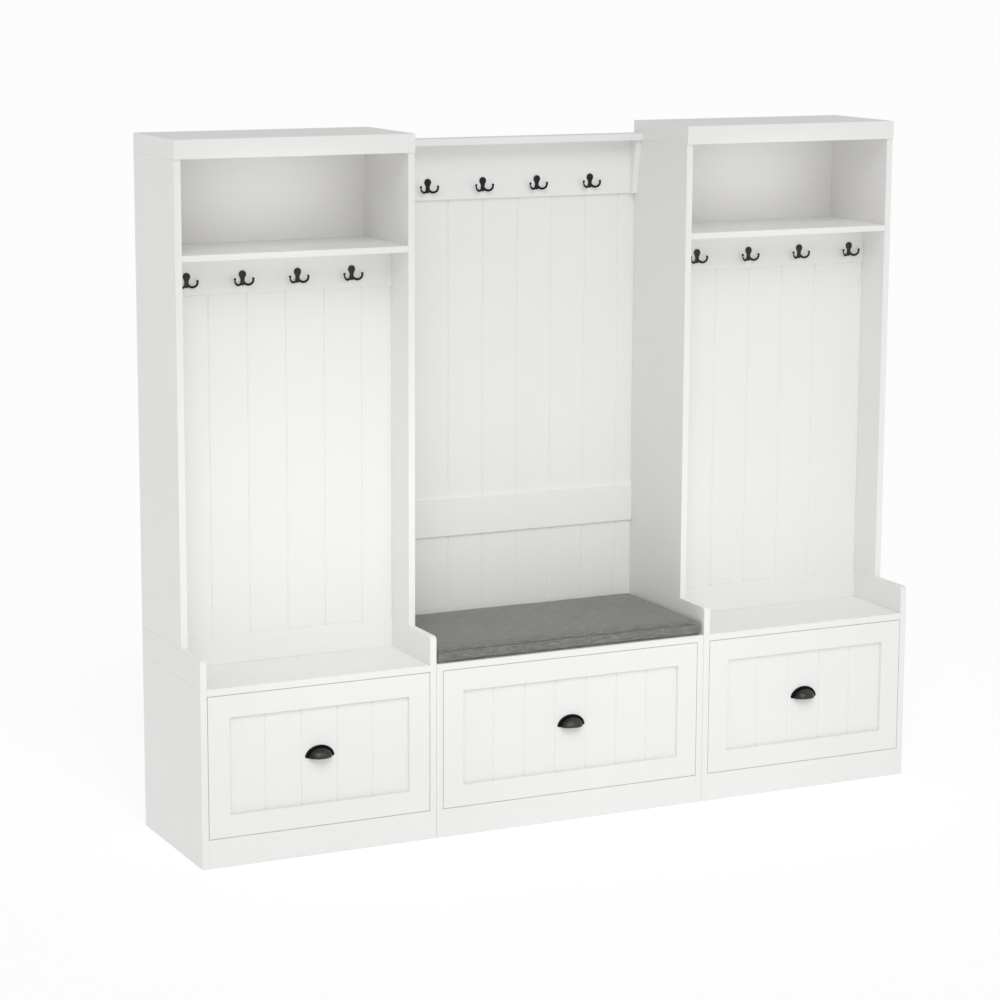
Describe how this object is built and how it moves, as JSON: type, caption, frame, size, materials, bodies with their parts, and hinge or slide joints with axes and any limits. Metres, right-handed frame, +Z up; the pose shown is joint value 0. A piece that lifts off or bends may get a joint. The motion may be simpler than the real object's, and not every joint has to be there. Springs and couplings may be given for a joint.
{
  "type": "hall tree with hooks",
  "caption": "White hall tree: two towers with arms, hook rails and top shelves, flanking a drawer bench with a cushion and a panelled hutch with hooks.",
  "frame": {"origin": "on the floor, under the middle of the whole piece's box", "axes": "+X along the front from left to right, +Y from the front to the back, +Z up"},
  "size_m": [2.064, 0.443, 1.8],
  "materials": {
    "painted_board": "satin white paint on board",
    "raw_board": "white faced board, matte",
    "black_metal": "satin black powder coat",
    "zinc_steel": "zinc plated",
    "cushion_linen": "heathered grey linen weave"
  },
  "bodies": {
    "frame": {"left_base_sides": "painted_board", "left_base_bottom": "painted_board", "left_plinth": "painted_board", "left_seat_board": "painted_board", "bench_base_sides": "painted_board", "bench_base_bottom": "painted_board", "bench_plinth": "painted_board", "bench_seat_board": "painted_board", "right_base_sides": "painted_board", "right_base_bottom": "painted_board", "right_plinth": "painted_board", "right_seat_board": "painted_board", "left_arms": "painted_board", "left_uprights": "painted_board", "left_cap_frame": "painted_board", "left_cap_board": "painted_board", "left_shelf": "painted_board", "left_bottom_rail": "painted_board", "left_hook_rail": "painted_board", "left_beadboard": "painted_board", "right_arms": "painted_board", "right_uprights": "painted_board", "right_cap_frame": "painted_board", "right_cap_board": "painted_board", "right_shelf": "painted_board", "right_bottom_rail": "painted_board", "right_hook_rail": "painted_board", "right_beadboard": "painted_board", "bench_beadboards": "painted_board", "bench_middle_rail": "painted_board", "bench_hook_rail": "painted_board", "bench_ledge": "painted_board", "bench_brackets": "painted_board", "base_back_panels": "painted_board", "tower_rear_panels": "painted_board", "left_coat_hooks": "black_metal", "bench_coat_hooks": "black_metal", "right_coat_hooks": "black_metal", "hook_screws": "black_metal", "slide_cabinet_members": "zinc_steel"},
    "left_drawer": {"left_drawer_frame": "painted_board", "left_drawer_panel": "painted_board", "left_drawer_box": "raw_board", "left_cup_pull": "black_metal", "left_slide_runners": "zinc_steel"},
    "left_slide_middle": {"left_slide_middles": "zinc_steel"},
    "bench_drawer": {"bench_drawer_frame": "painted_board", "bench_drawer_panel": "painted_board", "bench_drawer_box": "raw_board", "bench_cup_pull": "black_metal", "bench_slide_runners": "zinc_steel"},
    "bench_slide_middle": {"bench_slide_middles": "zinc_steel"},
    "right_drawer": {"right_drawer_frame": "painted_board", "right_drawer_panel": "painted_board", "right_drawer_box": "raw_board", "right_cup_pull": "black_metal", "right_slide_runners": "zinc_steel"},
    "right_slide_middle": {"right_slide_middles": "zinc_steel"},
    "cushion": {"seat_cushion": "cushion_linen"}
  },
  "joints": [
    {"name": "left_drawer_slide", "type": "slide", "parent": "frame", "child": "left_drawer", "axis": [0, -1, 0], "range_m": [0, 0.3]},
    {"name": "left_middle_slide", "type": "slide", "parent": "frame", "child": "left_slide_middle", "axis": [0, -1, 0], "range_m": [0, 0.15]},
    {"name": "bench_drawer_slide", "type": "slide", "parent": "frame", "child": "bench_drawer", "axis": [0, -1, 0], "range_m": [0, 0.3]},
    {"name": "bench_middle_slide", "type": "slide", "parent": "frame", "child": "bench_slide_middle", "axis": [0, -1, 0], "range_m": [0, 0.15]},
    {"name": "right_drawer_slide", "type": "slide", "parent": "frame", "child": "right_drawer", "axis": [0, -1, 0], "range_m": [0, 0.3]},
    {"name": "right_middle_slide", "type": "slide", "parent": "frame", "child": "right_slide_middle", "axis": [0, -1, 0], "range_m": [0, 0.15]},
    {"name": "cushion_lift", "type": "slide", "parent": "frame", "child": "cushion", "axis": [0, 0, 1], "range_m": [0, 0.15]}
  ],
  "couplings": [
    {"joint": "left_middle_slide", "follows": "left_drawer_slide", "ratio": 0.5},
    {"joint": "bench_middle_slide", "follows": "bench_drawer_slide", "ratio": 0.5},
    {"joint": "right_middle_slide", "follows": "right_drawer_slide", "ratio": 0.5}
  ]
}
